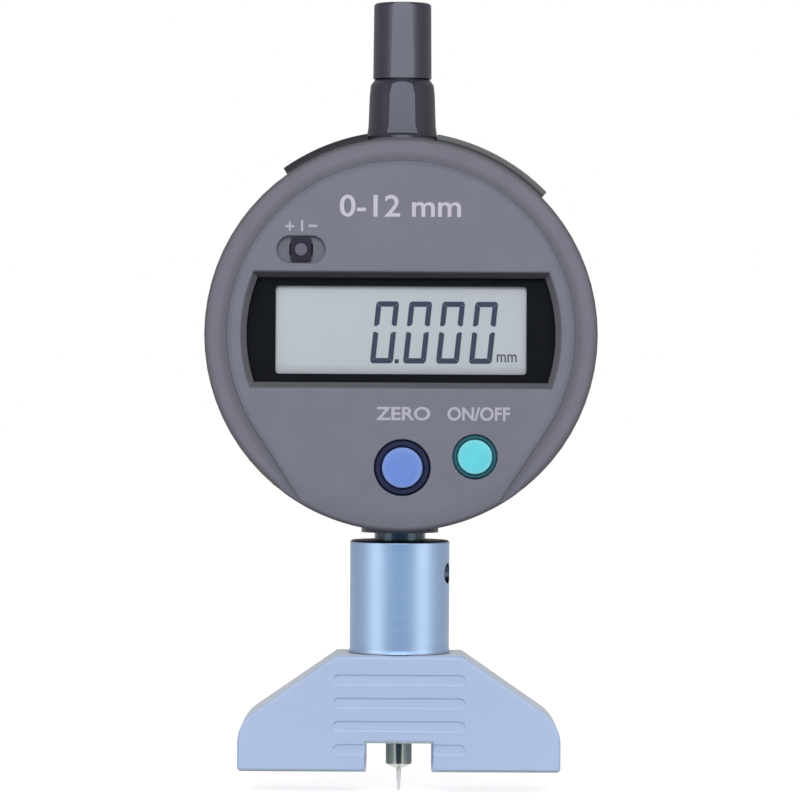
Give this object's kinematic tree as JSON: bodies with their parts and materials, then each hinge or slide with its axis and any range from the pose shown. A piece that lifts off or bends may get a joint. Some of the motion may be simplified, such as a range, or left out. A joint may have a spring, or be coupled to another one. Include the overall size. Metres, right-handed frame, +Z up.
{
  "type": "depth gauge",
  "caption": "Digital depth gauge: a round display body clamped by its stem in a bridge base, with a sprung spindle and a needle contact.",
  "frame": {"origin": "tip of the free needle, on the stem's axis, below the middle of the part", "axes": "+Z up along the stem, the display faces -Y, +X to the right as seen from the front"},
  "size_m": [0.0604, 0.024, 0.1227],
  "materials": {
    "ground_steel": "ground hardened steel, pale blue in the light",
    "collar_steel": "fine turned satin, blue in the light",
    "stem_steel": "ground steel in shade",
    "dark_steel": "blackened steel, satin",
    "bright_steel": "polished steel",
    "brass": "machined",
    "cap_plastic": "dark grey, fine satin",
    "case_grey": "violet grey, fine matte grain",
    "face_grey": "violet grey, fine matte grain",
    "rear_plastic": "dark grey, fine matte grain",
    "cover_plastic": "dark grey, fine matte grain",
    "cover_rubber": "matte",
    "clear_window": "clear, polished",
    "black_plastic": "black",
    "display_glass": "grey liquid crystal display",
    "white_plastic": "natural",
    "elastomer": "striped conductive elastomer",
    "blue_button": "blue, satin",
    "cyan_button": "cyan, satin",
    "blue_rubber": "dark blue",
    "green_rubber": "dark green blue",
    "black_rubber": "matte",
    "circuit_board": "green solder mask",
    "scale_board": "gold-plated scale pattern"
  },
  "bodies": {
    "base": {"base_foot": "ground_steel", "base_collar": "collar_steel"},
    "clamp_screw": {"clamp_screw": "dark_steel"},
    "indicator": {"stem": "stem_steel", "lower_bushing": "brass", "upper_bushing": "brass", "cap_sleeve": "cap_plastic", "spindle_cap": "cap_plastic", "housing": "case_grey", "front_panel": "face_grey", "window_lens": "clear_window", "display_mask": "black_plastic", "lcd_panel": "display_glass", "lcd_holder": "white_plastic", "lcd_contact_strip_top": "elastomer", "lcd_contact_strip_bottom": "elastomer", "origin_button_seal": "blue_rubber", "origin_switch": "black_plastic", "power_button_seal": "green_rubber", "power_switch": "black_plastic", "sign_switch_body": "black_plastic", "main_board": "circuit_board", "board_screw_1": "bright_steel", "board_screw_2": "bright_steel", "board_screw_3": "bright_steel", "rear_cover": "rear_plastic", "rear_screw_1": "bright_steel", "rear_screw_2": "bright_steel", "rear_screw_3": "bright_steel", "rear_screw_4": "bright_steel", "rear_gasket": "black_rubber", "detector_board": "circuit_board", "detector_screw_1": "bright_steel", "detector_screw_2": "bright_steel", "guide_plate": "brass", "guide_plate_screw_1": "bright_steel", "guide_plate_screw_2": "bright_steel", "return_spring": "bright_steel", "battery": "bright_steel", "battery_holder": "black_plastic", "battery_contact_inner": "brass", "battery_contact_side": "brass", "battery_cover": "cover_plastic", "data_connector": "black_plastic", "data_port_cover": "cover_rubber"},
    "spindle": {"spindle": "bright_steel", "contact_point": "dark_steel", "contact_needle": "bright_steel", "scale_carrier": "white_plastic", "carrier_screw": "dark_steel", "scale_strip": "scale_board", "guide_pin": "bright_steel", "spring_post": "bright_steel"},
    "origin_button": {"origin_button": "blue_button"},
    "power_button": {"power_button": "cyan_button"},
    "sign_switch": {"sign_switch_knob": "cap_plastic"}
  },
  "joints": [
    {"name": "stem_slide", "type": "slide", "parent": "base", "child": "indicator", "axis": [0, 0, 1], "range_m": [-0.0008, 0.005]},
    {"name": "clamp_screw_turn", "type": "hinge", "parent": "base", "child": "clamp_screw", "pos_m": [0, 0, 0.034], "axis": [0.9659, -0.2588, 0], "range_deg": [0, 360]},
    {"name": "spindle_slide", "type": "slide", "parent": "indicator", "child": "spindle", "axis": [0, 0, 1], "range_m": [0, 0.012], "stiffness_N_per_m": 20, "springref_m": -0.03, "deforming": ["return_spring"]},
    {"name": "origin_press", "type": "slide", "parent": "indicator", "child": "origin_button", "axis": [0, 1, 0], "range_m": [0, 0.0005], "stiffness_N_per_m": 1500, "springref_m": -0.0003},
    {"name": "power_press", "type": "slide", "parent": "indicator", "child": "power_button", "axis": [0, 1, 0], "range_m": [0, 0.0005], "stiffness_N_per_m": 1500, "springref_m": -0.0003},
    {"name": "sign_switch_slide", "type": "slide", "parent": "indicator", "child": "sign_switch", "axis": [1, 0, 0], "range_m": [-0.0009, 0.0009]}
  ]
}
